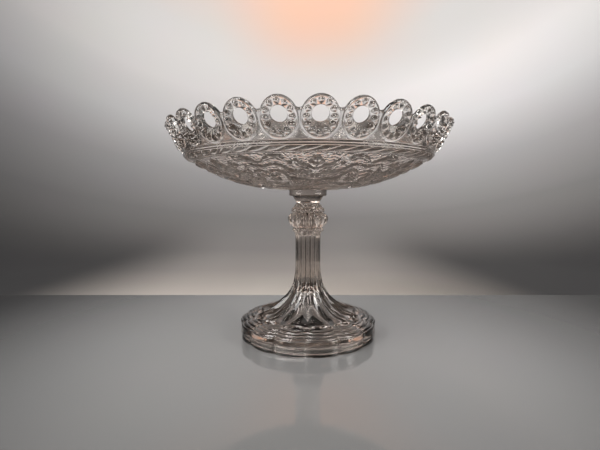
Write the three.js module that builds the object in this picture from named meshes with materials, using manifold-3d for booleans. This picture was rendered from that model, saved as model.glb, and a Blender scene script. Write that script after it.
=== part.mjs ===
// Pressed-glass fruit bowl on a footed stem, as three.js geometry in millimetres, +Z up.
// The origin is the middle of the flat ring that the foot stands on, and the front faces -Y.
// Three glass pieces are stacked on one axis and joined hot: the pedestal, a wafer and the bowl.
// The bowl's leaning rim is lacework: a ring of oval loops, each with a round hole.

import * as THREE from 'three';
import { mergeVertices } from 'three/addons/utils/BufferGeometryUtils.js';
import Module from 'manifold-3d';

// Foot: a scalloped wall round a terrace, with a flat ring below that it stands on.
const footRadius = 52.8;
const footWallHeight = 10.6;
const footEdgeRound = 1.5;
const footScallopDepth = 1.4;
const footRingWidth = 7;
const footHollowHeight = 36;
const terraceStep = 0.9;

// Skirt: the wide end of the fluted stem, which stands on the terrace.
const skirtRadius = 38.5;
const skirtHeight = 16.3;
const skirtFluteDepth = 2;
const skirtBend = new THREE.Vector2(19, 23);
const skirtShoulderHeight = 32;
const eyeDepth = 1.2;

// Stem: one flute to each scallop of the foot.
const panelCount = 14;
const panelPhase = THREE.MathUtils.degToRad(-2.2);
const stemRadius = 9.8;
const stemFluteDepth = 0.7;
const stemLowHeight = 56;
const stemTopHeight = 78.8;
const stemTopFlare = 0.3;

// Knop: a row of small curls, a row of tall gadroons and a row of beads, all on the flutes' pitch.
const knopRadius = 15.5;
const knopGrooveDepth = 2.9;
const knopHeight = 10.8;
const curlRadius = 12.1;
const curlGrooveDepth = 2;
const curlHeight = 4;
const beadRowRadius = 12.8;
const beadRowGrooveDepth = 2.7;
const beadRowHeight = 5.2;
const rowWaistRadius = 10.9;

// Neck: the plain top of the pedestal, which flares to take the wafer.
const neckRadius = 9.2;
const neckFlareRadius = 11.9;
const neckHeight = 8;

// Wafer: the disc of glass that joins the bowl to the pedestal.
const waferRadius = 14.6;
const waferThickness = 5.4;
const waferEdgeRound = 0.8;

// Dish: the shallow body of the bowl.
const dishRadius = 91.5;
const dishRise = 23.1;
const dishBend = new THREE.Vector2(55, 0.8);
const dishWall = 4.6;
const ropeWidth = 6.8;
const ropeRelief = 0.8;

// Lacework rim: a band that leans out from the dish and carries the loops.
const rimLean = THREE.MathUtils.degToRad(28);
const rimStep = 2.9;
const rimSetIn = 0.2;
const rimWebHeight = 16.4;
const rimWebThickness = 2.8;
const loopCount = 28;
const loopPhase = THREE.MathUtils.degToRad(2.6);
const loopWidth = 21;
const loopHeight = 23.4;
const loopThickness = 4.6;
const loopHoleRadius = 4.6;
const loopHoleRise = 1.5;
const loopHoleRelief = 0.8;
const loopBeadGroove = 0.8;

// Facets of the round shapes. These are counts, not sizes.
const panelSteps = 4;
const skirtSteps = 7;
const roundSegments = 56;
const dishSteps = 6;
const loopSegments = 12;

const glassColour = 0xd8d2cf;

const wasm = await Module();
wasm.setup();
const { Manifold, Mesh: SolidMesh } = wasm;

// Heights that follow from the sizes above.
const curlTop = stemTopHeight + stemTopFlare + curlHeight;
const knopTop = curlTop + knopHeight;
const beadRowTop = knopTop + beadRowHeight;
const pedestalHeight = beadRowTop + neckHeight;
const waferTop = pedestalHeight + waferThickness;
const dishRimHeight = waferTop + dishRise;

function indexedGeometry(positions, triangles) {
  const geometry = new THREE.BufferGeometry();
  geometry.setAttribute('position', new THREE.Float32BufferAttribute(positions, 3));
  geometry.setIndex(triangles);
  return geometry;
}

// Keeps only the positions, joins the ones that meet and drops triangles that have no area.
function weld(geometry) {
  const bare = geometry.clone();
  bare.deleteAttribute('normal');
  bare.deleteAttribute('uv');
  const merged = mergeVertices(bare);
  const corners = merged.index.array;
  const triangles = [];
  for (let i = 0; i < corners.length; i += 3) {
    const [a, b, c] = corners.slice(i, i + 3);
    if (a !== b && b !== c && c !== a) triangles.push(a, b, c);
  }
  merged.setIndex(triangles);
  return merged;
}

function toSolid(geometry) {
  const welded = weld(geometry);
  return new Manifold(new SolidMesh({
    numProp: 3,
    vertProperties: new Float32Array(welded.attributes.position.array),
    triVerts: new Uint32Array(welded.index.array),
  }));
}

function fromSolid(solid) {
  const mesh = solid.getMesh();
  return indexedGeometry(mesh.vertProperties, Array.from(mesh.triVerts));
}

// A ring or a plug turned about +Z from a section of (radius, height) points.
function turned(section, segments) {
  return new THREE.LatheGeometry(section, segments).rotateX(Math.PI / 2);
}

// Direction of an angle that is measured to the right of the front.
function fromFront(angle) {
  return new THREE.Vector3(Math.sin(angle), -Math.cos(angle), 0);
}

// A station of the pedestal: where its surface is on a ridge between two panels, and where it
// is in the middle of a panel. Each is a (radius, height) point.
function station(ridge, middle = ridge) {
  return { ridge: ridge.clone(), middle: middle.clone() };
}

function point(radius, height) {
  return new THREE.Vector2(radius, height);
}

// Every panel is a shallow scoop or swell, so its surface follows a parabola from ridge to ridge.
function stationRing({ ridge, middle }) {
  const ring = [];
  for (let i = 0; i < panelCount * panelSteps; i += 1) {
    const across = (2 * (i % panelSteps)) / panelSteps - 1;
    const spot = middle.clone().lerp(ridge, across * across);
    const angle = panelPhase + (2 * Math.PI * i) / (panelCount * panelSteps);
    const place = fromFront(angle).multiplyScalar(spot.x);
    ring.push([place.x, place.y, spot.y]);
  }
  return ring;
}

// Skins the stations in order, from one closed end on the axis to the other.
function panelledSolid(topHeight, stations, endHeight) {
  const around = panelCount * panelSteps;
  const rings = stations.map(stationRing);
  const positions = [[0, 0, topHeight], ...rings.flat(), [0, 0, endHeight]].flat();
  const last = rings.length * around + 1;
  const triangles = [];
  for (let i = 0; i < around; i += 1) {
    const next = (i + 1) % around;
    triangles.push(0, 1 + i, 1 + next);
    for (let k = 0; k + 1 < rings.length; k += 1) {
      const upper = 1 + k * around;
      const lower = upper + around;
      triangles.push(upper + i, lower + i, lower + next);
      triangles.push(upper + i, lower + next, upper + next);
    }
    triangles.push(last - around + i, last, last - around + next);
  }
  return indexedGeometry(positions, triangles);
}

function neckStations() {
  const profileShares = [[1, 1], [0.82, 0.9], [0.45, 0.42], [0.24, 0.08], [0.06, 0]];
  return profileShares.map(([heightShare, flareShare]) => station(point(
    THREE.MathUtils.lerp(neckRadius, neckFlareRadius, flareShare),
    beadRowTop + neckHeight * heightShare,
  )));
}

// A row of bosses round the stem: one to a panel, swelling from the waist and back to it.
function bossRow(lowHeight, height, radius, grooveDepth, lowRadius, topRadius, swellShares) {
  return swellShares.map(([heightShare, swellShare]) => {
    const waist = THREE.MathUtils.lerp(lowRadius, topRadius, heightShare);
    const crest = THREE.MathUtils.lerp(waist, radius, swellShare);
    const groove = THREE.MathUtils.lerp(waist, radius - grooveDepth, swellShare);
    const level = lowHeight + height * heightShare;
    return station(point(groove, level), point(crest, level));
  });
}

function knopStations() {
  const beadShares = [[0.94, 0.4], [0.75, 0.85], [0.5, 1], [0.25, 0.85], [0.05, 0.3]];
  const gadroonShares = [[0.94, 0.35], [0.8, 0.82], [0.6, 1], [0.4, 0.96], [0.2, 0.72], [0.05, 0.3]];
  const curlShares = [[0.85, 0.6], [0.5, 1], [0.2, 0.7]];
  return [
    ...bossRow(knopTop, beadRowHeight, beadRowRadius, beadRowGrooveDepth,
      rowWaistRadius, neckRadius, beadShares),
    ...bossRow(curlTop, knopHeight, knopRadius, knopGrooveDepth,
      rowWaistRadius, rowWaistRadius, gadroonShares),
    ...bossRow(stemTopHeight + stemTopFlare, curlHeight, curlRadius, curlGrooveDepth,
      stemRadius + stemTopFlare, rowWaistRadius, curlShares),
  ];
}

// Straight flutes, then the flare, whose flutes deepen as they widen.
function stemStations() {
  const stations = [
    station(point(stemRadius + stemTopFlare, stemTopHeight + stemTopFlare / 2)),
    station(
      point(stemRadius + stemTopFlare, stemTopHeight - stemFluteDepth),
      point(stemRadius + stemTopFlare - stemFluteDepth, stemTopHeight - 2 * stemFluteDepth),
    ),
  ];
  const flare = new THREE.CubicBezierCurve(
    point(stemRadius, stemLowHeight),
    point(stemRadius, skirtShoulderHeight),
    skirtBend,
    point(skirtRadius, skirtHeight),
  );
  for (let i = 0; i <= skirtSteps; i += 1) {
    const along = i / skirtSteps;
    const ridge = flare.getPoint(along);
    const tangent = flare.getTangent(along);
    const inward = point(tangent.y, -tangent.x);
    const depth = THREE.MathUtils.lerp(stemFluteDepth, skirtFluteDepth, along);
    stations.push(station(ridge, ridge.clone().addScaledVector(inward, depth)));
  }
  return stations;
}

// The terrace goes down in scalloped steps from the eyes at the flutes' ends to the foot's edge.
function footStations() {
  const wallTop = footWallHeight;
  const eyeHeight = skirtHeight - skirtFluteDepth - eyeDepth;
  const edgeInner = footRadius - 2 * footEdgeRound;
  const stepRadius = (share) => THREE.MathUtils.lerp(skirtRadius, edgeInner, share);
  const stepHeight = (share) => THREE.MathUtils.lerp(eyeHeight, wallTop, share);
  const scallop = (radius, height) => station(
    point(radius - footScallopDepth, height),
    point(radius, height),
  );
  const eyeShare = 0.3;
  const stepShare = 0.62;
  return [
    station(point(skirtRadius, skirtHeight - eyeDepth), point(skirtRadius, eyeHeight)),
    scallop(stepRadius(eyeShare), stepHeight(eyeShare) + terraceStep),
    scallop(stepRadius(eyeShare) + terraceStep, stepHeight(eyeShare)),
    scallop(stepRadius(stepShare), stepHeight(stepShare) + terraceStep / 2),
    scallop(stepRadius(stepShare) + terraceStep, stepHeight(stepShare) - terraceStep / 2),
    scallop(edgeInner, wallTop - terraceStep / 2),
    scallop(footRadius - footEdgeRound, wallTop),
    scallop(footRadius - footEdgeRound / 3, wallTop - footEdgeRound / 3),
    scallop(footRadius, wallTop - footEdgeRound),
    scallop(footRadius, footEdgeRound / 2),
    scallop(footRadius - footEdgeRound / 2, 0),
  ];
}

// The hollow under the foot follows the skirt at an even thickness of glass.
function hollowStations() {
  const mouthRadius = footRadius - footRingWidth;
  const profileShares = [[1, 0], [0.96, 0.12], [0.82, 0.225], [0.6, 0.35], [0.4, 0.54], [0.2, 0.84]];
  return profileShares.map(([radiusShare, heightShare]) => station(point(
    mouthRadius * radiusShare,
    footHollowHeight * heightShare,
  )));
}

function pedestalGeometry() {
  const stations = [
    ...neckStations(),
    ...knopStations(),
    ...stemStations(),
    ...footStations(),
    ...hollowStations(),
  ];
  return panelledSolid(pedestalHeight, stations, footHollowHeight);
}

function waferGeometry() {
  const inset = waferRadius - waferEdgeRound;
  const section = [
    point(0, pedestalHeight),
    point(inset, pedestalHeight),
    point(waferRadius, pedestalHeight + waferEdgeRound),
    point(waferRadius, waferTop - waferEdgeRound),
    point(inset, waferTop),
    point(0, waferTop),
  ];
  return turned(section, roundSegments);
}

// A point of the leaning rim's section: up along the lean from the dish, and out from its middle.
function rimPoint(up, out) {
  return point(
    dishRadius - rimSetIn + up * Math.sin(rimLean) + out * Math.cos(rimLean),
    dishRimHeight + rimStep + up * Math.cos(rimLean) - out * Math.sin(rimLean),
  );
}

// The dish's outer curve, moved up or in by an offset to make the inner one.
function dishCurve(lift, inset) {
  const curve = new THREE.QuadraticBezierCurve(
    point(waferRadius, waferTop + lift),
    point(dishBend.x, waferTop + dishBend.y + lift),
    point(dishRadius - inset, dishRimHeight + lift),
  );
  return curve.getPoints(dishSteps);
}

// The rope moulding is a low roll round the outside of the dish, just below the lacework.
function ropeRoll() {
  const slope = 2 * Math.atan2(dishRise, dishRadius - waferRadius);
  const along = point(Math.cos(slope), Math.sin(slope));
  const out = point(along.y, -along.x);
  const end = point(dishRadius, dishRimHeight);
  const rollShares = [[1, 0], [0.75, 0.9], [0.25, 0.9], [0, 0]];
  return rollShares.map(([backShare, reliefShare]) => end.clone()
    .addScaledVector(along, -ropeWidth * backShare)
    .addScaledVector(out, ropeRelief * reliefShare));
}

function dishGeometry() {
  const outer = dishCurve(0, 0).slice(0, -1);
  const inner = dishCurve(dishWall, dishWall / 2).reverse();
  const halfWeb = rimWebThickness / 2;
  const section = [
    point(0, waferTop),
    ...outer,
    ...ropeRoll(),
    rimPoint(-halfWeb, halfWeb),
    rimPoint(rimWebHeight, halfWeb),
    rimPoint(rimWebHeight, -halfWeb),
    rimPoint(0, -halfWeb),
    ...inner,
    point(0, waferTop + dishWall),
  ];
  return turned(section, roundSegments).rotateZ(loopPhase);
}

// Stands a shape on the rim, with its +Z pointing out of the band and its +Y up the lean.
function onRim(geometry, index) {
  const angle = loopPhase + (2 * Math.PI * index) / loopCount;
  const spot = rimPoint(loopHeight / 2, 0);
  const front = fromFront(angle);
  const up = front.clone().multiplyScalar(Math.sin(rimLean));
  up.z = Math.cos(rimLean);
  const out = front.clone().multiplyScalar(Math.cos(rimLean));
  out.z = -Math.sin(rimLean);
  const side = up.clone().cross(out);
  const place = new THREE.Matrix4().makeBasis(side, up, out);
  place.setPosition(front.x * spot.x, front.y * spot.x, spot.y);
  return geometry.clone().applyMatrix4(place);
}

// A loop blends from its round hole, which sits a little high, to its oval outline. The share is
// 0 on the hole's edge and 1 on the outline, and the level is the height above the middle plane.
function loopRing(share, level) {
  const ring = [];
  for (let i = 0; i < loopSegments; i += 1) {
    const angle = Math.PI * ((2 * i) / loopSegments - 0.5);
    const hole = point(Math.cos(angle), Math.sin(angle)).multiplyScalar(loopHoleRadius);
    hole.y += loopHoleRise;
    const outline = point(Math.cos(angle) * loopWidth / 2, Math.sin(angle) * loopHeight / 2);
    const spot = hole.lerp(outline, share);
    ring.push(spot.x, spot.y, level);
  }
  return ring;
}

// One loop: the hole, the swell that carries the beads, a groove and the raised edge.
function loopGeometry() {
  const half = loopThickness / 2;
  const swellShare = 0.42;
  const grooveShare = 0.74;
  const edgeShare = 0.9;
  const rings = [
    loopRing(0, half - loopHoleRelief),
    loopRing(swellShare, half),
    loopRing(grooveShare, half - loopBeadGroove),
    loopRing(edgeShare, half),
    loopRing(1, 0),
    loopRing(edgeShare, -half),
    loopRing(0, loopHoleRelief - half),
  ];
  const triangles = [];
  rings.forEach((_, k) => {
    const here = k * loopSegments;
    const there = ((k + 1) % rings.length) * loopSegments;
    for (let i = 0; i < loopSegments; i += 1) {
      const next = (i + 1) % loopSegments;
      triangles.push(here + i, there + i, there + next, here + i, there + next, here + next);
    }
  });
  return indexedGeometry(rings.flat(), triangles);
}

// Clears the band inside a loop, so that the loop's own hole is open.
function loopCutter() {
  const radius = (loopHoleRadius + loopWidth / 2) / 2;
  return new THREE.CylinderGeometry(radius, radius, 2 * loopThickness, loopSegments)
    .rotateX(Math.PI / 2)
    .translate(0, loopHoleRise, 0);
}

function bowlGeometry() {
  const loop = loopGeometry();
  const cutter = loopCutter();
  const places = Array.from({ length: loopCount }, (_, index) => index);
  const cutters = places.map((index) => toSolid(onRim(cutter, index)));
  const loops = places.map((index) => toSolid(onRim(loop, index)));
  const opened = toSolid(dishGeometry()).subtract(Manifold.union(cutters));
  return fromSolid(opened.add(Manifold.union(loops)));
}

function glassPiece(name, geometry) {
  const material = new THREE.MeshStandardMaterial({
    color: glassColour,
    roughness: 0.05,
    metalness: 0,
    transparent: true,
    opacity: 0.4,
  });
  const mesh = new THREE.Mesh(geometry, material);
  mesh.name = name;
  return mesh;
}

const fruitBowl = new THREE.Group();
fruitBowl.add(
  glassPiece('pedestal', pedestalGeometry()),
  glassPiece('joining_wafer', weld(waferGeometry())),
  glassPiece('bowl', bowlGeometry()),
);

export default fruitBowl;
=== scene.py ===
"""Looks of a pressed-glass fruit bowl on a high foot: fine meshes for its three pieces, their glass,
a pale table, a soft studio and the photograph's camera. Shapes are in millimetres until they become
meshes, and angles are measured to the right of the front."""

import functools
import math

import bpy
import numpy as np
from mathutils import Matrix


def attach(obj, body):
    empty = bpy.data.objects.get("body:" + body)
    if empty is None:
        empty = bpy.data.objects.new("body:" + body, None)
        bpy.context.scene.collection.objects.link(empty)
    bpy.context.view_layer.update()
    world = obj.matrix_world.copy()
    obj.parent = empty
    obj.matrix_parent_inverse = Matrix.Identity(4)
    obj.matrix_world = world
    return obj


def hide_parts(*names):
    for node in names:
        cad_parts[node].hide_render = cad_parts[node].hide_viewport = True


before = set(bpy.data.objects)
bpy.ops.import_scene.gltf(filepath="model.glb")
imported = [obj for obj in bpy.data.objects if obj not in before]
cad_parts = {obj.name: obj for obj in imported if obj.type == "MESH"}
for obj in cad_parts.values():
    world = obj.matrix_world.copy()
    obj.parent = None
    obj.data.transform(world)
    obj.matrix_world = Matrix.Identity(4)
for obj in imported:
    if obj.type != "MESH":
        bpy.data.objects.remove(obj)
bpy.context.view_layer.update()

MM = 0.001
TAU = 2 * math.pi
MEET = 1e-4  # points this close are one point
FUSE = 0.1  # how far pieces that were fused hot reach into each other
CREASE = math.radians(50)  # edges sharper than this stay sharp in the shading

# Pedestal: 14 panels, with a ridge between each two. Curves are lists of (radius, height).
PANELS = 14
PANEL_PITCH = TAU / PANELS
PANEL_PHASE = math.radians(-2.2)
PANEL_COLUMNS = 32
CROWDING = 0.55  # how much closer together a panel's columns are at its ridges
PEDESTAL_TOP = 107.1
# The knop and the neck without their bosses, upwards.
WAIST = (
    (10.1, 78.6), (10.5, 79.3), (10.4, 80.0), (10.4, 82.6), (10.9, 83.4), (11.8, 86.0),
    (12.4, 90.0), (11.4, 93.4), (10.9, 94.3), (10.4, 96.4), (9.9, 98.6), (9.3, 100.6),
    (9.0, 101.6), (9.2, 102.6), (9.9, 103.8), (10.9, 105.4), (11.6, 106.5), (11.9, 107.2),
)
# Rows of bosses on the knop: radius, place across a panel, height of the middle, half the width, reach up,
# reach down, and how far they stand out.
ON_RIDGE, MID_PANEL = 0, 0.5
BOSSES = (
    (10.2, ON_RIDGE, 99.6, 1.7, 1.25, 1.25, 1.3),  # small beads
    (11.2, MID_PANEL, 96.5, 2.3, 2.1, 2.2, 2.5),  # large beads
    (13.6, MID_PANEL, 90.3, 2.95, 3.9, 7.0, 3.3),  # gadroons
    (11.6, ON_RIDGE, 84.6, 1.15, 2.4, 1.6, 1.5),  # drops between their ends
    (10.9, MID_PANEL, 81.2, 1.9, 1.7, 1.7, 1.7),  # curls over the flutes
)
STEM_TOP = 79.1
STEM_RADIUS = 9.8
STEM_FLUTE = 0.95  # depth of the stem's flutes
SKIRT_RIDGE = ((9.8, 56.0), (9.8, 32.0), (19.0, 23.0), (38.5, 16.3))  # control points of a Bezier curve
LIP_DRAW, LIP_RISE = 3.0, 0.34  # how far a flute's end draws in, and how much it rises for each mm of that
TERRACE_TOP = 14.1  # where the pockets under the flutes' lips end and the steps begin
TERRACE_SCALLOP = 1.9  # how far a panel's middle stands out beyond its ridges
# Each step's start and end as shares of the way out to the wall, then its height at its start and end.
TERRACES = ((0, 0.29, TERRACE_TOP, 13.2), (0.29, 0.6, 13.2, 12.2), (0.6, 0.88, 12.2, 11.0))
FOOT_RADIUS = 52.8
FOOT_SCALLOP = 1.5
RIM_CREST = 11.2  # top of the foot's raised rim
RIM_ROUNDING = 1.15
RING_ROUNDING = 1.1  # of the foot's lowest edge
HOLLOW = (
    (45.0, 1.2), (44.0, 4.3), (40.6, 6.4), (34.5, 9.4),
    (27.5, 12.6), (20.5, 17.6), (14.6, 23.6), (10.4, 29.0),
)
HOLLOW_TOP = 36.0

WAFER_RADIUS = 14.6
WAFER_COLUMNS = 196

# Bowl: 28 loops on a leaning band, over a shallow dish.
LOOPS = 28
LOOP_PITCH = TAU / LOOPS
LOOP_PHASE = math.radians(2.6)
DISH_FLOOR = 112.5
INNER_FLOOR = 117.1
# Control points of the dish's curves: its inside from the flat middle out, and its outside from the band in.
INSIDE = ((14.6, INNER_FLOOR), (55, 117.9), (89.2, 140.2))
INSIDE_END = 86.4  # the radius where the inside leaves its curve for the band's foot
OUTSIDE = ((91.5, 135.6), (55, 113.3), (WAFER_RADIUS, DISH_FLOOR))
LEAN = math.radians(28)
BAND_RADIUS = 91.3  # of the band's middle plane, where the way up its lean begins
BAND_HEIGHT = 138.5
BAND_FOOT = -0.1  # where the loops end above the mouldings, along the lean
VALLEY = 16.4  # the lowest place of the free edge, between two loops
OVAL_HALF_WIDTH = 10.5
OVAL_HALF_HEIGHT = 11.4
OVAL_RISE = 12.0  # the oval's middle, up the lean
HOLE_RADIUS = 4.6
HOLE_RISE = 13.2  # the hole's middle, up the lean
FUNNEL_WIDTH = 2.9  # the slope round the hole
FACE, WEB = 1.5, 1.35  # how far the loops and the band between them stand out in front
FRONT_ROUNDING = (0.45, 1.5)  # at the hole and at the free edge
BACK_ROUNDING = (0.5, 1.7)
ROUNDING_POWER = 2.4  # 2 is a quarter circle, and more is fuller
LOOP_BEADS = 12
BEAD_HEIGHT, BEAD_HALF_WIDTH = 1.8, 1.75
BEAD_REACH_OUT, BEAD_REACH_IN = 1.6, 2.3  # from a bead's middle, away from the hole and towards it
FOOT_STEPS, SIDE_STEPS, ARC_STEPS = 38, 22, 60  # along the foot, a side and the free edge of a loop's cell

# Under the loops: rolls as (height, place, half width), a groove and the rope. Then the dish's relief.
ROLLS = ((0.5, -1.2, 0.5), (0.8, 0.05, 0.6), (0.75, 5.65, 0.55))
GROOVE, GROOVE_HALF_WIDTH = -2.1, 0.45
ROPE, ROPE_HALF_WIDTH = 2.85, 2.2
SPRAYS = 7
SPRAY_DEPTH = 1.25  # what the leaves' heights are multiplied by
LEAF_VEIN = 0.45  # the share of a leaf's height that its vein cuts away
LEAVES_IN, LEAVES_OUT = 34.4, 84.5  # the ring that the leaves keep to
GROUND_IN, GROUND_OUT = 34.6, 85.2  # the ring that is stippled between them
# A curling stalk as (x, y), and berries as (x, y, radius), on each side of a spray.
TENDRIL = ((17, 60), (21, 66), (26, 67), (28, 62.5), (25, 59.5), (22, 61.6), (23.4, 64))
BERRIES = ((7.9, 68.6, 1.5), (15.6, 75.6, 1.6), (10.2, 59.4, 1.5), (31.8, 72.8, 1.5), (9.4, 49.6, 1.4))

# Stage, in metres. The way is Y + Z, so it runs out over the table and up the wall.
TABLE_EDGE = 0.11  # the table's back edge
WAY = 2.4  # a little more than the way to the top of the wall
TABLE = (0.21, 0.21, 0.209)
# Painted shade that the table and the backdrop fade to, at the sides and in front.
PAINTED_SIDE_SHADE = (0.02, 0.02, 0.021)
# A painted warm glow, as from a lamp, at the top of the backdrop's middle.
PAINTED_WARM_GLOW = (0.64, 0.39, 0.28)
TOWARDS_BACK = (0.17, 0.985, 0)  # from the bowl to the middle of the backdrop
# The backdrop's colours by the way, which paint light and shade on it: a glow above the table's edge, a
# darker band, then a bright top that turns warm.
BACKDROP_LIGHT_AND_SHADE = (
    (0.11, (0.68, 0.62, 0.565)),
    (0.17, (0.52, 0.475, 0.435)),
    (0.25, (0.37, 0.34, 0.318)),
    (0.45, (0.275, 0.26, 0.253)),
    (0.75, (0.225, 0.222, 0.222)),
    (1.07, (0.37, 0.366, 0.372)),
    (1.36, (0.62, 0.617, 0.627)),
    (1.61, (0.72, 0.705, 0.705)),
    (1.9, (0.61, 0.605, 0.595)),
    (2.1, (0.61, 0.5, 0.45)),
    (2.2, (0.06, 0.06, 0.06)),
)

VECTOR = "ShaderNodeVectorMath"
MIX_SOCKETS = {"FLOAT": (2, 3, 0), "RGBA": (6, 7, 2)}  # a Mix node's two values and its result, by number


def place(radius, angle, height):
    """Points round the axis, in millimetres."""
    radius, angle, height = np.broadcast_arrays(radius, angle, height)
    return np.stack([radius * np.sin(angle), -radius * np.cos(angle), height], axis=-1)


def smooth(x):
    """0 below 0, 1 above 1 and a smooth rise between."""
    x = np.clip(x, 0, 1)
    return x * x * (3 - 2 * x)


def dome(q):
    """The height of a round boss at the share q of the way from its middle to its edge."""
    return np.sqrt(np.clip(1 - q * q, 0, None))


def mound(q):
    """The height of a boss with open flanks at the share q of the way from its middle to its edge."""
    return np.clip(1 - q * q, 0, None)


def highest(*parts):
    """The highest of several reliefs at each point."""
    return functools.reduce(np.maximum, parts)


def grid_faces(indices):
    """Quads over a grid of point numbers that goes round: columns to the right, rows down the outside."""
    across = np.roll(indices, -1, axis=1)
    return np.stack([indices[:-1], indices[1:], across[1:], across[:-1]], axis=-1).reshape(-1, 4)


def surface_of(rows):
    """Points and quads over rows of points that go round the axis."""
    points = np.concatenate(rows)
    return points, grid_faces(np.arange(len(points)).reshape(len(rows), -1))


def weld(points, faces):
    """Joins points that meet. Gives them, the quads and triangles that have area, and which were kept."""
    keys = np.round(points / MEET).astype(np.int64)
    _, first, inverse = np.unique(keys, axis=0, return_index=True, return_inverse=True)
    faces = inverse.reshape(-1)[faces]
    same = faces == np.roll(faces, -1, axis=1)
    count = same.sum(axis=1)
    quads = faces[count == 0]
    narrow, twice = faces[count == 1], same[count == 1]
    rest = np.argsort(twice, axis=1, kind="stable")[:, :3]
    triangles = np.take_along_axis(narrow, np.sort(rest, axis=1), axis=1)
    return points[first], quads, triangles, first


def glass_piece(name, points, faces, node, material, ground=None):
    """A closed glass mesh that stands for a CAD node, with the share of stippled ground at its points."""
    points, quads, triangles, kept = weld(points, faces)
    mesh = bpy.data.meshes.new(name)
    mesh.vertices.add(len(points))
    mesh.vertices.foreach_set("co", (points * MM).astype(np.float32).ravel())
    corners = np.concatenate([quads.ravel(), triangles.ravel()])
    sizes = np.concatenate([np.full(len(quads), 4), np.full(len(triangles), 3)])
    starts = np.concatenate([[0], np.cumsum(sizes)[:-1]])
    mesh.loops.add(len(corners))
    mesh.loops.foreach_set("vertex_index", corners.astype(np.int32))
    mesh.polygons.add(len(sizes))
    mesh.polygons.foreach_set("loop_start", starts.astype(np.int32))
    mesh.update(calc_edges=True)
    mesh.validate()
    mesh.shade_smooth()
    mesh.set_sharp_from_angle(angle=CREASE)
    if ground is not None:
        mask = mesh.attributes.new("ground", "FLOAT", "POINT")
        mask.data.foreach_set("value", ground[kept].astype(np.float32))
    mesh.materials.append(material)
    piece = bpy.data.objects.new(name, mesh)
    bpy.context.scene.collection.objects.link(piece)
    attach(piece, "root")
    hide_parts(node)


def panel_share(angle):
    """-1 and 1 on the ridges on either side of a panel, and 0 in its middle."""
    return 2 * np.mod((angle - PANEL_PHASE) / PANEL_PITCH, 1) - 1


def bosses(angle, height, radius, share, middle, half_width, rise, drop, proud):
    """A row of egg-shaped bosses, one to a panel, as how far each point stands out."""
    start = PANEL_PHASE + PANEL_PITCH * share
    along = radius * (np.mod(angle - start + PANEL_PITCH / 2, PANEL_PITCH) - PANEL_PITCH / 2)
    up = height - middle
    half = np.where(up > 0, rise, drop)
    return proud * dome(np.hypot(along / half_width, up / half))


def knop(angle, height):
    """Radius of the pedestal between the wafer and the stem: the neck, and the knop with its bosses."""
    radii, heights = zip(*WAIST)
    rows = [bosses(angle, height, *row) for row in BOSSES]
    return np.interp(height, heights, radii) + highest(*rows)


def panel(u, power):
    """The hollow of a flute between ridges at -1 and 1, flatter and with steeper sides at higher powers."""
    return 1 - np.abs(u) ** power


def flute(u, flat):
    """The hollow of a flute: round where flat is 0, and nearly a flat panel where it is 1."""
    return (1 - flat) * panel(u, 2) + flat * (0.3 * panel(u, 2) + 0.7 * panel(u, 5))


def stem_rows(u):
    """The straight flutes, from their round heads down to where the stem begins to flare."""
    widening, widens_over, head_drop = 0.3, 6, 0.8
    depths = (
        (79.1, 0), (78.7, 0.25), (78.0, 0.7), (77.0, 0.95),
        (75.5, 1), (70, 1), (65, 1), (60, 1),
    )
    sunk = flute(u, 1)
    rows = []
    for height, share in depths:
        radius = STEM_RADIUS + widening * max(0, 1 - (STEM_TOP - height) / widens_over)
        rows.append((radius - STEM_FLUTE * share * sunk, height - head_drop * (1 - share) * sunk))
    return rows


def skirt_rows(u):
    """The flare of the stem. Each flute deepens as it widens, and its end draws in to a straight lip."""
    along = np.linspace(0, 1, 64)
    t = along[:, None]
    a, b, c, d = np.array(SKIRT_RIDGE)
    spots = (1 - t) ** 3 * a + 3 * t * (1 - t) ** 2 * b + 3 * t * t * (1 - t) * c + t ** 3 * d
    slopes = np.gradient(spots, axis=0)
    slopes /= np.linalg.norm(slopes, axis=1)[:, None]
    flats = 1 - 0.9 * smooth(along / 0.7)
    depths = STEM_FLUTE + 2.0 * smooth(along / 0.8) - 1.5 * smooth((along - 0.78) / 0.22)
    draws = LIP_DRAW * smooth((along - 0.8) / 0.2)
    rows = []
    for spot, slope, depth, draw, flat in zip(spots, slopes, depths, draws, flats):
        sunk = flute(u, flat)
        radius = spot[0] + (slope[1] * depth - draw) * sunk
        height = spot[1] + (LIP_RISE * draw - slope[0] * depth) * sunk
        rows.append((radius, height))
    return rows


def terrace_rows(u, lip_radius, lip_height):
    """From the flutes' straight lips over a lens-shaped pocket below each and down three scalloped steps."""
    scoop = panel(u, 2)
    lens = np.clip(1 - (u / 0.74) ** 2, 0, None) ** 0.8
    rows = [
        (lip_radius + 0.25, lip_height - 0.1 - 0.5 * lens),
        (lip_radius + 0.35, lip_height - 0.2 - 1.3 * lens),
    ]
    inner, outer = SKIRT_RIDGE[-1][0] + 1.1, FOOT_RADIUS - 1.9
    arc = inner + TERRACE_SCALLOP * scoop
    for t in (0.2, 0.45, 0.7, 0.88, 1):
        sag = t * (1 - t) * (-0.4 * t - lens * (1.9 - 1.8 * t ** 3))
        level = (1 - t) * (lip_height - 0.25 - 1.6 * lens) + t * TERRACE_TOP + sag
        rows.append((lip_radius + 0.5 + (arc - 0.4 - lip_radius - 0.5) * t, level))
    for start, end, high, low in TERRACES:
        for t in np.linspace(0.06, 1, 10):
            share = start + (end - start) * t
            swell = 0.85 * math.sin(math.pi * t) ** 0.55
            edge = (1 - share) * inner + share * outer
            radius = edge + (TERRACE_SCALLOP - 0.4 * share) * scoop - 0.5 * (1 - scoop)
            rows.append((radius, high + (low - high) * t + swell))
    return rows


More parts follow.
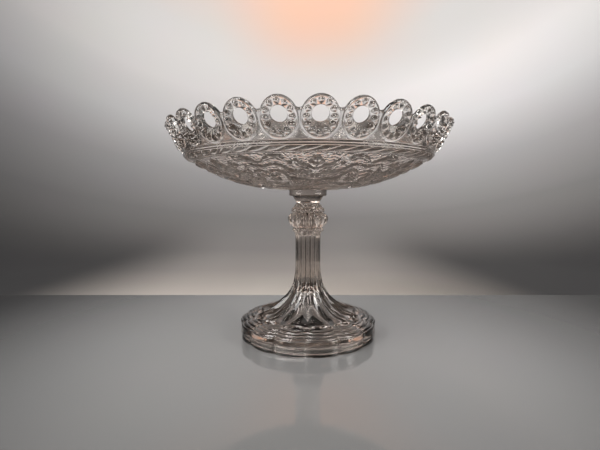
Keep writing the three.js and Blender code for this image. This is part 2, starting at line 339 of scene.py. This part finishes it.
def foot_rows(u):
    """The scalloped wall of the foot with its raised rim, and the ring that the foot stands on."""
    cusp = mound((1 - np.abs(u)) / 0.08)
    wall = FOOT_RADIUS - FOOT_SCALLOP * u * u - 0.5 * cusp
    rows = [(wall - 2.5, RIM_CREST - 0.75)]
    for turn in np.linspace(-0.3, 1, 10) * math.pi / 2:
        radius = wall - RIM_ROUNDING + RIM_ROUNDING * math.sin(turn)
        rows.append((radius, RIM_CREST - RIM_ROUNDING + RIM_ROUNDING * math.cos(turn)))
    for height in (9.0, 7.6, 6.2, 4.8, 3.4, 2.0):
        rows.append((wall - 0.3 * math.sin(math.pi * (10 - height) / 9), height))
    for turn in np.linspace(0, math.pi / 2, 5):
        radius = wall - RING_ROUNDING + RING_ROUNDING * math.cos(turn)
        rows.append((radius, RING_ROUNDING - RING_ROUNDING * math.sin(turn)))
    rows += [(wall - 3.6, 0), (FOOT_RADIUS - 6.6, 0), (FOOT_RADIUS - 7.3, 0.3)]
    return rows


def hollow_rows():
    """The plain hollow under the foot, up to its domed top."""
    rows = [tuple(spot) for spot in spline(HOLLOW, 40)]
    radius, low = HOLLOW[-1]
    for turn in np.linspace(0.1, 1, 12) * math.pi / 2:
        rows.append((radius * math.cos(turn), low + (HOLLOW_TOP - low) * math.sin(turn)))
    return rows


def pedestal_rows(angle):
    """Rows of points from the top of the neck down to the foot and up inside it, as (radius, height)."""
    u = panel_share(angle)
    top = PEDESTAL_TOP + FUSE
    rows = [(0, top)]
    rows += [(knop(angle, height), height) for height in np.arange(top, STEM_TOP + 0.1, -0.25)]
    rows += stem_rows(u) + skirt_rows(u)
    rows += terrace_rows(u, *rows[-1]) + foot_rows(u) + hollow_rows()
    return [(radius + 0 * u, height + 0 * u) for radius, height in rows]


def spline(knots, count):
    """Points on a smooth curve through the knots."""
    knots = np.asarray(knots, float)
    ends = np.vstack([2 * knots[0] - knots[1], knots, 2 * knots[-1] - knots[-2]])
    spots = []
    for t in np.linspace(0, len(knots) - 1, count):
        k = min(int(t), len(knots) - 2)
        f = t - k
        a, b, c, d = ends[k:k + 4]
        spots.append(b + 0.5 * f * (c - a + f * (2 * a - 5 * b + 4 * c - d + f * (3 * (b - c) + d - a))))
    return np.array(spots)


def pedestal_shape():
    """The neck, knop, stem and hollow foot as one closed surface."""
    share = np.arange(PANELS * PANEL_COLUMNS) / PANEL_COLUMNS
    angle = PANEL_PHASE + PANEL_PITCH * (share - CROWDING / TAU * np.sin(TAU * share))
    return surface_of([place(radius, angle, height) for radius, height in pedestal_rows(angle)])


def wafer_shape():
    """The disc of glass between bowl and pedestal, with the slightly uneven side of hot worked glass."""
    angle = TAU * np.arange(WAFER_COLUMNS) / WAFER_COLUMNS
    low, high = PEDESTAL_TOP, DISH_FLOOR + FUSE
    section = [(0, high), (13.2, high), (13.9, high - 0.2), (14.4, high - 0.6), (WAFER_RADIUS, high - 1.2)]
    section += [(14.55, 110.4), (14.5, 109.6), (14.55, 108.8), (WAFER_RADIUS, 108.3)]
    section += [(14.4, low + 0.5), (13.9, low + 0.15), (13.2, low), (0, low)]
    wave = 0.05 * np.sin(3 * angle + 0.6) + 0.04 * np.sin(7 * angle + 2)
    return surface_of([place(radius + wave * (radius > 14), angle, height) for radius, height in section])


def band_point(centre_angle, x, y, w):
    """Places on the leaning band: x to the right of a loop's middle, y up the lean, w out of the band."""
    middle = BAND_RADIUS + y * math.sin(LEAN)
    radius = middle + w * math.cos(LEAN)
    height = BAND_HEIGHT + y * math.cos(LEAN) - w * math.sin(LEAN)
    return place(radius, centre_angle + x / middle, height)


def cell_side(y):
    """Half the width of a loop's cell at y up the lean."""
    return LOOP_PITCH / 2 * (BAND_RADIUS + y * math.sin(LEAN))


def oval(turn):
    """The loop's oval outline, at angles from the right, counter-clockwise."""
    return np.stack([OVAL_HALF_WIDTH * np.cos(turn), OVAL_RISE + OVAL_HALF_HEIGHT * np.sin(turn)], axis=-1)


def distances(path):
    """How far along a path each of its points is."""
    return np.concatenate([[0], np.cumsum(np.linalg.norm(np.diff(path, axis=0), axis=1))])


def along_path(path, distance):
    """The places at these distances along a path."""
    reach = distances(path)
    return np.stack([np.interp(distance, reach, path[:, column]) for column in (0, 1)], axis=-1)


def even_path(path, step):
    """The path again in even steps, with the distance along it."""
    length = distances(path)[-1]
    even = np.linspace(0, length, max(2, int(round(length / step)) + 1))
    return along_path(path, even), even


def bezier2(a, b, c, t):
    """Places on a curve from a to c, whose ends point at b."""
    t = t[:, None]
    return (1 - t) ** 2 * np.array(a) + 2 * t * (1 - t) * np.array(b) + t * t * np.array(c)


def free_edge(count):
    """The rim's free edge over one loop, from valley to valley, in even steps."""
    start = math.asin(0.47)
    arc = oval(np.linspace(start, math.pi - start, 400))
    first = arc[0]
    low = np.array([cell_side(VALLEY), VALLEY])
    knee = np.array([first[0] + (first[1] - VALLEY) * 0.38, VALLEY])
    fillet = bezier2(low, knee, first, np.linspace(0, 1, 60)[:-1])
    path = np.vstack([fillet, arc, (fillet * [-1, 1])[::-1]])
    return along_path(path, np.linspace(0, distances(path)[-1], count + 1))


def cell_edge():
    """The edge of a loop's cell, counter-clockwise from its lower left corner."""
    foot = cell_side(BAND_FOOT)
    x = np.linspace(-foot, foot, FOOT_STEPS + 1)[:-1]
    bottom = np.stack([x, np.full(FOOT_STEPS, BAND_FOOT)], axis=-1)
    y = np.linspace(BAND_FOOT, VALLEY, SIDE_STEPS + 1)
    right = np.stack([cell_side(y), y], axis=-1)
    left = (right * [-1, 1])[::-1]
    return np.vstack([bottom, right[:-1], free_edge(ARC_STEPS)[:-1], left[:-1]])


def reach_to(path, x, y):
    """Distance from each point to a path of close points."""
    least = np.full(x.shape, np.inf)
    for a, b in zip(path[:-1], path[1:]):
        run = b - a
        t = np.clip(((x - a[0]) * run[0] + (y - a[1]) * run[1]) / max(run @ run, 1e-12), 0, 1)
        least = np.minimum(least, np.hypot(x - a[0] - t * run[0], y - a[1] - t * run[1]))
    return least


def rounded(distance, radius):
    """The share of full height that near an edge is left by its rounding."""
    return np.clip(1 - np.clip(1 - distance / radius, 0, 1) ** ROUNDING_POWER, 0, 1) ** (1 / ROUNDING_POWER)


def from_outline(x, y):
    """Distance in from the loop's outline, which is negative outside it."""
    inside = (x / OVAL_HALF_WIDTH) ** 2 + ((y - OVAL_RISE) / OVAL_HALF_HEIGHT) ** 2 < 1
    return np.where(inside, 1, -1) * reach_to(oval(np.linspace(0, TAU, 241)), x, y)


def from_hole(x, y):
    """Distance out from the hole's edge."""
    return np.clip(np.hypot(x, y - HOLE_RISE) - HOLE_RADIUS, 0, None)


def loop_beads(x, y):
    """Beads round the hole, widest outside and drawn in towards the hole. The first is at the bottom."""
    across, up = OVAL_HALF_WIDTH - 2.9, OVAL_HALF_HEIGHT - 2.65
    turn = np.linspace(0, TAU, 721)
    ring = np.stack([across * np.cos(turn), OVAL_RISE + up * np.sin(turn)], axis=-1)
    reach = distances(ring)
    start = reach[3 * len(turn) // 4]
    height = np.zeros(x.shape)
    for k in range(LOOP_BEADS):
        cx, cy = along_path(ring, (start + reach[-1] * k / LOOP_BEADS) % reach[-1])
        outward = np.array([cx / across ** 2, (cy - OVAL_RISE) / up ** 2])
        outward /= np.linalg.norm(outward)
        out = (x - cx) * outward[0] + (y - cy) * outward[1]
        side = (y - cy) * outward[0] - (x - cx) * outward[1]
        width = BEAD_HALF_WIDTH + 0.22 * np.clip(out, -2.4, 0)
        q = np.hypot(out / np.where(out > 0, BEAD_REACH_OUT, BEAD_REACH_IN), side / width)
        low = smooth((OVAL_RISE + 1 - cy) / 7)
        height = np.maximum(height, BEAD_HEIGHT * (mound(q) + low * (dome(q) - mound(q))))
    return height


def front_height(x, y):
    """The outer face of the band over one loop, above its middle plane."""
    at_hole, at_edge = FRONT_ROUNDING
    inside, away = from_outline(x, y), from_hole(x, y)
    turn = np.arctan2(y - HOLE_RISE, x)
    web = WEB - 0.25 * smooth(-inside / 1.2)
    low = smooth(-0.15 - 1.25 * np.sin(turn))
    funnel = (1.1 + 0.9 * low) * (1 - np.clip(away / (FUNNEL_WIDTH + 0.8 * low), 0, 1))
    plate = (FACE - funnel) * smooth(inside / 0.4 + 0.5) + web * smooth(0.5 - inside / 0.4)
    border = 0.7 * mound((inside - 0.65) / 0.65)
    ribs = (0.04 + 0.05 * low) * np.cos(turn * 32)
    ribs = ribs * smooth((away - 0.5) / 0.6) * smooth((3.2 + low - away) / 0.8)
    height = plate + highest(border, loop_beads(x, y), ribs) * (inside > -0.01)
    return height * rounded(reach_to(free_edge(120), x, y), at_edge) * rounded(away, at_hole)


def back_height(x, y):
    """The smooth inner face of the band over one loop, below its middle plane, thicker towards the dish."""
    at_hole, at_edge = BACK_ROUNDING
    height = 1.25 + 0.25 * 1.5 * np.log1p(np.exp((11.5 - y) / 1.5))
    return -height * rounded(reach_to(free_edge(120), x, y), at_edge) * rounded(from_hole(x, y), at_hole)


def cell_rows(hole_round, edge_round, steps, hole_steps, edge_steps, web_steps):
    """Rings of (x, y) points from the hole to the oval outline and on to the cell's edge. They are closer
    together where the edges are rounded. Where the cell's edge is the outline, the last rings meet."""
    edge = cell_edge()
    away = edge - [0, HOLE_RISE]
    length = np.linalg.norm(away, axis=1)
    away = away / length[:, None]
    drop = (HOLE_RISE - OVAL_RISE) / OVAL_HALF_HEIGHT
    a = (away[:, 0] / OVAL_HALF_WIDTH) ** 2 + (away[:, 1] / OVAL_HALF_HEIGHT) ** 2
    b = away[:, 1] / OVAL_HALF_HEIGHT * drop
    reach = (-b + np.sqrt(b * b - a * (drop * drop - 1))) / a
    reach = np.where(length - reach < 0.02, length, reach)
    span = reach - HOLE_RADIUS
    near = hole_round * (1 - np.cos(np.linspace(0, math.pi / 2, hole_steps + 1)))
    far = edge_round * (1 - np.cos(np.linspace(math.pi / 2, 0, edge_steps + 1)))
    rings = [near[i] / span for i in range(hole_steps + 1)]
    flat = span - hole_round - edge_round
    rings += [(hole_round + flat * t) / span for t in np.linspace(0, 1, steps + 1)[1:]]
    rings += [1 - far[i] / span for i in range(1, edge_steps + 1)]
    centre = np.array([0, HOLE_RISE])
    points = [centre + away * (HOLE_RADIUS + span * t)[:, None] for t in rings[:-1]]
    outline = centre + away * reach[:, None]
    points += [outline + (edge - outline) * t for t in np.linspace(0, 1, web_steps + 1)]
    return np.stack(points)


def loop_shape():
    """One loop's front and back as (x, y, w) grids of rings, from the hole outwards."""
    front = cell_rows(*FRONT_ROUNDING, steps=24, hole_steps=4, edge_steps=7, web_steps=4)
    back = cell_rows(*BACK_ROUNDING, steps=8, hole_steps=3, edge_steps=4, web_steps=3)
    first = FOOT_STEPS + SIDE_STEPS
    shapes = []
    for grid, face in ((front, front_height), (back, back_height)):
        height = face(grid[..., 0], grid[..., 1])
        height[0] = 0
        height[-1, first:first + ARC_STEPS + 1] = 0
        shapes.append((grid[..., 0], grid[..., 1], height))
    return shapes


def mouldings(angle, s):
    """Under the loops: a groove, a fine roll, a bolder one, the rope with two slanted strands to a loop,
    and a roll. s runs down the outside from where the dish begins, and is negative above that."""
    v = (s - ROPE) / ROPE_HALF_WIDTH
    turns = (angle - LOOP_PHASE) / (LOOP_PITCH / 2) + 0.3 * (v + 0.4 * v ** 3)
    across = 2 * np.mod(turns, 1) - 1
    strand = 1.45 * dome(across / 0.8) * dome(v) ** 0.7
    rolls = sum(height * dome((s - at) / half_width) for height, at, half_width in ROLLS)
    return np.maximum(strand, rolls) - 0.5 * mound((s - GROOVE) / GROOVE_HALF_WIDTH)


def leaf(x, y, knots, half_width, height, lobes=5):
    """A lobed leaf of relief along a curve, with a vein cut down its middle."""
    path = spline(knots, 26)
    best, height_map = np.full(x.shape, np.inf), np.zeros(x.shape)
    for i, (a, b) in enumerate(zip(path[:-1], path[1:])):
        run = b - a
        t = np.clip(((x - a[0]) * run[0] + (y - a[1]) * run[1]) / (run @ run), 0, 1)
        d = np.hypot(x - a[0] - t * run[0], y - a[1] - t * run[1])
        share = (i + t) / (len(path) - 1)
        width = half_width * np.sin(math.pi * np.clip(share, 0, 1) ** 0.8) ** 0.75 + 0.12
        notch = np.abs(np.sin(math.pi * (share * lobes - 0.5 * d / half_width)))
        width = width * (0.82 + 0.26 * notch)
        vein = 1 - LEAF_VEIN * np.exp(-(d / 0.5) ** 2)
        rise = height * dome(d / width) * (0.72 + 0.28 * notch) * vein
        closer = d < best
        best = np.where(closer, d, best)
        height_map = np.where(closer, rise, height_map)
    return height_map


def stalk(x, y, knots, half_width, height):
    """A round raised line along a curve."""
    return height * dome(reach_to(spline(knots, 40), x, y) / half_width)


def spray(x, y):
    """One spray of leaves under the dish, the same on both sides: x across and y out from the axis."""
    relief = [
        stalk(x, y, [(0, 33), (0, 50), (0, 70)], 0.9, 1.2),
        leaf(x, y, [(0, 67), (0, 75), (0, 83)], 5.0, 1.6, 3),
    ]
    for side in (-1, 1):
        m = x * side
        relief += [
            leaf(m, y, [(0.5, 64), (4.5, 71), (9.5, 73.5), (13.5, 79.5)], 2.6, 1.4),
            leaf(m, y, [(0.5, 56), (6, 62.5), (13, 64.5), (19.5, 71)], 3.4, 1.6, 6),
            leaf(m, y, [(0.5, 46.5), (6, 52.5), (12, 53.5), (17.5, 58.5)], 3.4, 1.6, 6),
            leaf(m, y, [(0.5, 38.5), (4.5, 44), (9, 44.8), (13, 48)], 2.6, 1.4, 4),
            leaf(m, y, [(19, 78.5), (24, 82), (29.5, 80.5), (34, 76)], 2.6, 1.4, 4),
            stalk(m, y, TENDRIL, 0.95, 1.2),
            stalk(m, y, [(19, 71), (24, 74.5), (29, 73.5), (32.5, 69)], 0.9, 1.1),
            leaf(m, y, [(25, 59.5), (23.5, 55), (20.5, 51)], 2.1, 1.3, 4),
            leaf(m, y, [(14, 46.5), (16.5, 43), (17.5, 38.5)], 2.0, 1.2, 3),
        ]
        for cx, cy, radius in BERRIES:
            relief.append(0.85 * radius * dome(np.hypot(m - cx, y - cy) / radius))
    return highest(*relief)


def petals(angle, radius):
    """Two rings of petals round the middle of the dish, with a plain ring outside each."""
    inner = 2 * np.mod((angle - LOOP_PHASE) / LOOP_PITCH, 1) - 1
    outer = 2 * np.mod((angle - LOOP_PHASE) / (LOOP_PITCH / 2) + 0.5, 1) - 1
    return highest(
        1.1 * dome(inner) * dome((radius - 21.3) / 4.2) ** 0.7,
        0.8 * dome((radius - 26.6) / 0.8),
        1.1 * dome(outer) ** 0.9 * dome((radius - 30.2) / 2.6) ** 0.7,
        0.8 * dome((radius - 33.9) / 0.7),
    )


def dish_relief(angle, s, radius):
    """How far the outside of the dish stands out, and the share of it that is stippled ground."""
    turn = np.mod((angle - LOOP_PHASE) / (TAU / SPRAYS) + 0.5, 1) - 0.5
    leaves = spray(turn * (TAU / SPRAYS) * radius, radius)
    leaves = SPRAY_DEPTH * leaves * smooth((LEAVES_OUT - radius) / 1.0) * smooth((radius - LEAVES_IN) / 0.8)
    ground = smooth((GROUND_OUT - radius) / 0.8) * smooth((radius - GROUND_IN) / 0.8)
    lines = mouldings(angle, s)
    relief = np.where(lines < 0, lines, highest(leaves, petals(angle, radius), lines))
    return relief, ground * (1 - smooth(leaves / 0.25))


def bowl_shape():
    """The dish and its rim of loops as one closed surface, and its points' shares of stippled ground."""
    blocks, faces, grounds = [], [], []
    count = 0

    def add(grid, flip=False, ground=None):
        """Adds a grid of points that goes round, seen from its other side where flip is set."""
        nonlocal count
        indices = count + np.arange(grid.shape[0] * grid.shape[1]).reshape(grid.shape[:2])
        quads = grid_faces(indices)
        faces.append(quads[:, ::-1] if flip else quads)
        blocks.append(grid.reshape(-1, 3))
        grounds.append(np.zeros(indices.size) if ground is None else ground.ravel())
        count += indices.size

    (fx, fy, fw), (bx, by, bw) = loop_shape()
    centres = [LOOP_PHASE + k * LOOP_PITCH for k in range(LOOPS)]
    for centre in centres:
        add(band_point(centre, fx, fy, fw))
        add(band_point(centre, bx, by, bw), flip=True)

    x = np.linspace(-cell_side(BAND_FOOT), cell_side(BAND_FOOT), FOOT_STEPS + 1)[:-1]
    y = np.full(FOOT_STEPS, BAND_FOOT)
    outer_edge = np.concatenate([band_point(centre, x, y, fw[-1][:FOOT_STEPS]) for centre in centres])
    inner_edge = np.concatenate([band_point(centre, x, y, bw[-1][:FOOT_STEPS]) for centre in centres])
    edge_radius = BAND_RADIUS + BAND_FOOT * math.sin(LEAN)
    angle = np.concatenate([centre + x / edge_radius for centre in centres])

    inner = bezier2(*INSIDE, np.linspace(0, 1, 400))
    inner = inner[inner[:, 0] < INSIDE_END]
    inner, _ = even_path(np.vstack([[0, INNER_FLOOR], inner]), 2.4)
    add(np.concatenate([place(inner[:, :1], angle[None], inner[:, 1:]), inner_edge[None]]))

    dish = bezier2(*OUTSIDE, np.linspace(0, 1, 600))
    web = fw[-1][0]
    lean = np.array([math.sin(LEAN), math.cos(LEAN)])
    band = np.array([BAND_RADIUS + web * math.cos(LEAN), BAND_HEIGHT - web * math.sin(LEAN)])
    path = np.vstack([band + (BAND_FOOT - 0.12) * lean, band - 1.7 * lean, dish])
    fine = 200  # so many of the path's points, with the mouldings, are taken in finer steps
    curve, s = even_path(path[:fine], 0.2)
    rest, t = even_path(path[fine - 1:], 0.56)
    curve = np.vstack([curve, rest[1:]])
    s = np.concatenate([s, s[-1] + t[1:]])
    s = s - np.linalg.norm(path[1] - path[0]) - np.linalg.norm(path[2] - path[1])  # 0 where the dish begins
    slope = np.gradient(curve, axis=0)
    slope /= np.linalg.norm(slope, axis=1)[:, None]
    outward = np.stack([-slope[:, 1], slope[:, 0]], axis=-1)
    relief, ground = dish_relief(angle[None], s[:, None], curve[:, :1])
    radius = curve[:, :1] + outward[:, :1] * relief
    height = curve[:, 1:] + outward[:, 1:] * relief
    middle = place(0, angle, DISH_FLOOR)[None]
    blank = np.zeros((1, len(angle)))
    grid = np.concatenate([outer_edge[None], place(radius, angle[None], height), middle])
    add(grid, ground=np.concatenate([blank, ground, blank]))
    return np.concatenate(blocks), np.concatenate(faces), np.concatenate(grounds)


def node(tree, kind, at, **values):
    """A shader node with its settings and constant inputs."""
    made = tree.nodes.new(kind)
    made.location = at
    for name, value in values.items():
        if hasattr(made, name):
            setattr(made, name, value)
        else:
            made.inputs[name.replace("_", " ")].default_value = value
    return made


def feed(tree, socket, value):
    """Links a socket to another, or gives it a constant. A colour gets its opacity here."""
    if isinstance(value, bpy.types.NodeSocket):
        tree.links.new(value, socket)
    else:
        socket.default_value = (*value, 1) if socket.type == "RGBA" else value


def reckoned(tree, operation, at, *values, kind="ShaderNodeMath", result="Value"):
    """The result of a Math or VectorMath node over sockets and constants."""
    made = node(tree, kind, at, operation=operation)
    for socket, value in zip(made.inputs, values):
        feed(tree, socket, value)
    return made.outputs[result]


def noise(tree, where, at, result="Fac", **values):
    """A noise pattern over the object's own coordinates."""
    made = node(tree, "ShaderNodeTexNoise", at, **values)
    tree.links.new(where, made.inputs["Vector"])
    return made.outputs[result]


def ranged(tree, source, at, start, end, low=0.0, high=1.0, smoothed=True):
    """The source's share of the way from start to end, as a value from low to high."""
    made = node(tree, "ShaderNodeMapRange", at, interpolation_type="SMOOTHSTEP" if smoothed else "LINEAR")
    for slot_name, value in (("From Min", start), ("From Max", end), ("To Min", low), ("To Max", high)):
        made.inputs[slot_name].default_value = value
    tree.links.new(source, made.inputs["Value"])
    return made.outputs["Result"]


def mixed(tree, kind, share, low, high, at, **values):
    """A number (kind FLOAT) or a colour (kind RGBA) between two others, which are constants or sockets."""
    made = node(tree, "ShaderNodeMix", at, data_type=kind, **values)
    first, second, result = MIX_SOCKETS[kind]
    for number, value in ((0, share), (first, low), (second, high)):
        feed(tree, made.inputs[number], value)
    return made.outputs[result]


def beside(tree, across, middle, start, end, at):
    """1 within the distance start of a place along X, and 0 beyond the distance end."""
    aside = reckoned(tree, "SUBTRACT", (at[0] - 300, at[1]), across, middle)
    offset = reckoned(tree, "ABSOLUTE", (at[0] - 150, at[1]), aside)
    return ranged(tree, offset, at, start, end, 1.0, 0.0)


def bumped(tree, height, at, strength, distance):
    """A Bump node over a pattern of heights, which rises by up to this distance in metres."""
    made = node(tree, "ShaderNodeBump", at, Strength=strength, Distance=distance)
    tree.links.new(height, made.inputs["Height"])
    return made


def glass(name, tint, deep_tint, smokiness, stipple=False):
    """Fire-polished pressed glass: faint ripples, a trace of wear, and stippling where asked."""
    material = bpy.data.materials.new(name)
    material.use_nodes = True
    tree = material.node_tree
    tree.nodes.clear()
    link = tree.links.new
    where = node(tree, "ShaderNodeTexCoord", (-1100, 0)).outputs["Object"]
    surface = node(tree, "ShaderNodeBsdfPrincipled", (200, 0), IOR=1.52)
    surface.inputs["Transmission Weight"].default_value = 1

    cloud = noise(tree, where, (-850, 300), Scale=38.0, Detail=3.0, Roughness=0.55)
    link(mixed(tree, "RGBA", cloud, tint, deep_tint, (-250, 300)), surface.inputs["Base Color"])

    wear = noise(tree, where, (-850, 50), Scale=170.0, Detail=6.0, Roughness=0.7)
    rough = ranged(tree, wear, (-250, 50), 0.52, 0.78, 0.0, 0.09, smoothed=False)
    ripple = noise(tree, where, (-850, -250), Scale=120.0, Detail=2.0, Roughness=0.4)
    soft = bumped(tree, ripple, (-100, -250), 0.35, 0.0004)
    link(soft.outputs["Normal"], surface.inputs["Normal"])
    if stipple:
        dots = node(tree, "ShaderNodeTexVoronoi", (-850, -550), Scale=620.0, feature="SMOOTH_F1")
        link(where, dots.inputs["Vector"])
        ground = node(tree, "ShaderNodeAttribute", (-850, -850), attribute_name="ground").outputs["Fac"]
        height = reckoned(tree, "MULTIPLY", (-500, -600), dots.outputs["Distance"], ground)
        fine = bumped(tree, height, (-300, -550), 1.0, 0.0013)
        link(fine.outputs["Normal"], soft.inputs["Normal"])
        rough = reckoned(tree, "MULTIPLY_ADD", (0, -50), ground, 0.12, rough)
    link(rough, surface.inputs["Roughness"])

    smoke = node(tree, "ShaderNodeVolumeAbsorption", (200, -400), Density=smokiness)
    smoke.inputs["Color"].default_value = (0.62, 0.54, 0.48, 1)
    output = node(tree, "ShaderNodeOutputMaterial", (500, 0))
    link(surface.outputs[0], output.inputs["Surface"])
    link(smoke.outputs[0], output.inputs["Volume"])
    return material


def stage_paint():
    """Paint for the stage: the table's colour round the bowl as far as its back edge, then the backdrop's
    colours by the way, which paint light and shade on it, with a painted warm glow at the top of the middle.
    Painted shade makes it darker to the sides and in front. All of it has a very slight mottling."""
    material = bpy.data.materials.new("pale_stage")
    material.use_nodes = True
    tree = material.node_tree
    link = tree.links.new
    surface = tree.nodes["Principled BSDF"]
    where = node(tree, "ShaderNodeTexCoord", (-1700, 0)).outputs["Object"]
    split = node(tree, "ShaderNodeSeparateXYZ", (-1500, 0))
    link(where, split.inputs[0])
    across, back, up = split.outputs
    flat = reckoned(tree, "MULTIPLY", (-1500, -300), where, (1, 1, 0), kind=VECTOR, result="Vector")

    way = reckoned(tree, "ADD", (-1300, 200), back, up)
    # The ramp paints light and shade on the backdrop by the way: a glow above the table's edge, a darker
    # band and a bright top.
    wall = node(tree, "ShaderNodeValToRGB", (-900, 300))
    stops = wall.color_ramp.elements
    for at, _ in BACKDROP_LIGHT_AND_SHADE[2:]:
        stops.new(at / WAY)
    for stop, (at, colour) in zip(stops, BACKDROP_LIGHT_AND_SHADE):
        stop.position = at / WAY
        stop.color = (*colour, 1)
    link(ranged(tree, way, (-1100, 300), 0, WAY, smoothed=False), wall.inputs[0])

    # Painted shade: the backdrop darkens away from its middle, narrowly low down and widely higher up.
    # Painted light makes it a little brighter to the right.
    bearing = reckoned(tree, "NORMALIZE", (-1300, -300), flat, kind=VECTOR, result="Vector")
    facing = reckoned(tree, "DOT_PRODUCT", (-1100, -300), bearing, TOWARDS_BACK, kind=VECTOR)
    wide = ranged(tree, facing, (-900, 0), 0.1, 0.97)
    narrow = beside(tree, across, -0.03, 0.1, 0.3, (-1100, -100))
    rising = ranged(tree, way, (-1100, 100), 0.28, 0.82)
    spread = mixed(tree, "FLOAT", rising, narrow, wide, (-700, 0))
    lit_rightwards = ranged(tree, across, (-900, 150), -0.15, 0.6, 0.7, 1.0)
    crown = ranged(tree, way, (-900, 400), 1.5, 1.85)
    evened = mixed(tree, "FLOAT", crown, lit_rightwards, 0.8, (-700, 200))
    strength = reckoned(tree, "MULTIPLY", (-600, 150), spread, evened)
    backdrop = mixed(tree, "RGBA", strength, PAINTED_SIDE_SHADE, wall.outputs["Color"], (-500, 200))
    # A painted warm glow at the top of the backdrop's middle.
    middle = beside(tree, across, 0.07, 0.05, 0.45, (-900, 600))
    upper = ranged(tree, way, (-900, 800), 1.68, 2.1)
    glow = reckoned(tree, "MULTIPLY", (-500, 400), middle, upper)
    backdrop = mixed(tree, "RGBA", glow, backdrop, PAINTED_WARM_GLOW, (-400, 300))

    # Painted shade: the table darkens beyond the ring round the bowl.
    out = reckoned(tree, "LENGTH", (-1100, -500), flat, kind=VECTOR)
    near = ranged(tree, out, (-900, -500), 0.1, 0.33, 1.0, 0.0)
    top = mixed(tree, "RGBA", near, PAINTED_SIDE_SHADE, TABLE, (-500, -200))
    beyond = ranged(tree, back, (-900, -200), TABLE_EDGE - 0.0005, TABLE_EDGE + 0.0005, smoothed=False)
    stage = mixed(tree, "RGBA", beyond, top, backdrop, (-300, 0))
    rough = ranged(tree, beyond, (-300, -300), 0, 1, 0.06, 0.6, smoothed=False)
    link(rough, surface.inputs["Roughness"])

    grain = noise(tree, where, (-500, 500), result="Color", Scale=5.0, Detail=4.0)
    mottled = mixed(tree, "RGBA", 0.05, stage, grain, (-100, 0), blend_type="MULTIPLY")
    link(mottled, surface.inputs["Base Color"])
    return material


def studio():
    """A round table top that sweeps up into a wall all round."""
    flat, turn_radius, top = 0.45, 0.8, 1.1
    turn = np.linspace(0, math.pi / 2, 41)
    radius = np.concatenate([[0.02, 0.2], flat + turn_radius * np.sin(turn), [flat + turn_radius]])
    height = np.concatenate([[0, 0], turn_radius * (1 - np.cos(turn)), [top]])
    angle = np.linspace(0, TAU, 129)[:-1]
    grid = place(radius[:, None], angle[None], height[:, None])
    indices = np.arange(grid.shape[0] * grid.shape[1]).reshape(grid.shape[:2])
    quads = grid_faces(indices)[:, ::-1].tolist() + [indices[0].tolist()]
    mesh = bpy.data.meshes.new("stage")
    mesh.from_pydata(grid.reshape(-1, 3).tolist(), [], quads)
    mesh.shade_smooth()
    mesh.materials.append(stage_paint())
    stage = bpy.data.objects.new("stage", mesh)
    bpy.context.scene.collection.objects.link(stage)


def lamp(name, at, aim, size, power, colour=(1, 1, 1)):
    """A soft rectangular lamp that points from one place at another."""
    data = bpy.data.lights.new(name, "AREA")
    data.shape = "RECTANGLE"
    data.size, data.size_y = size
    data.energy = power
    data.color = colour
    made = bpy.data.objects.new(name, data)
    bpy.context.scene.collection.objects.link(made)
    made.location = at
    away = np.array(at) - np.array(aim)
    tilt = math.acos(away[2] / np.linalg.norm(away))
    made.rotation_euler = (tilt, 0, math.atan2(away[1], away[0]) + math.pi / 2)


def light():
    """A dim world, a key lamp, a fill, two low lamps beside the bowl and a wash on the backdrop's top."""
    world = bpy.data.worlds.new("studio")
    world.use_nodes = True
    world.node_tree.nodes["Background"].inputs["Color"].default_value = (0.05, 0.05, 0.051, 1)
    bpy.context.scene.world = world
    lamp("key", at=(-0.75, -0.6, 1.0), aim=(0, 0, 0.1), size=(0.8, 0.8), power=17)
    lamp("fill", at=(0.9, -0.5, 0.6), aim=(0, 0, 0.1), size=(0.5, 0.8), power=7)
    for name, x in (("low_left", -0.6), ("low_right", 0.6)):
        lamp(name, at=(x, -0.3, 0.25), aim=(0, 0, 0.11), size=(0.4, 0.3), power=1.8, colour=(1, 0.95, 0.88))
    lamp("wash", at=(0, 0.2, 1.35), aim=(0, 1.25, 1.2), size=(1.2, 0.25), power=18, colour=(1, 0.96, 0.93))


def camera():
    """The photograph's view: level with the joining wafer, looking slightly down."""
    data = bpy.data.cameras.new("camera")
    data.sensor_width = 36
    data.lens = 23.31
    made = bpy.data.objects.new("camera", data)
    bpy.context.scene.collection.objects.link(made)
    made.location = (-0.0062, -0.3016, 0.1087)
    made.rotation_euler = (math.radians(90 - 4.58), 0, 0)
    bpy.context.scene.camera = made


camera()
clear = ((0.995, 0.99, 0.985), (0.965, 0.96, 0.95))
glass_piece("pedestal_glass", *pedestal_shape(), "pedestal", glass("pedestal_crystal", *clear, 66.0))
glass_piece("wafer_glass", *wafer_shape(), "joining_wafer", glass("wafer_crystal", *clear, 54.0))
points, faces, ground = bowl_shape()
stippled = glass("bowl_crystal", *clear, 42.0, stipple=True)
glass_piece("bowl_glass", points, faces, "bowl", stippled, ground=ground)
studio()
light()
scene = bpy.context.scene
scene.view_settings.view_transform = "Standard"
scene.cycles.max_bounces = 18
scene.cycles.transmission_bounces = 18
scene.cycles.glossy_bounces = 8
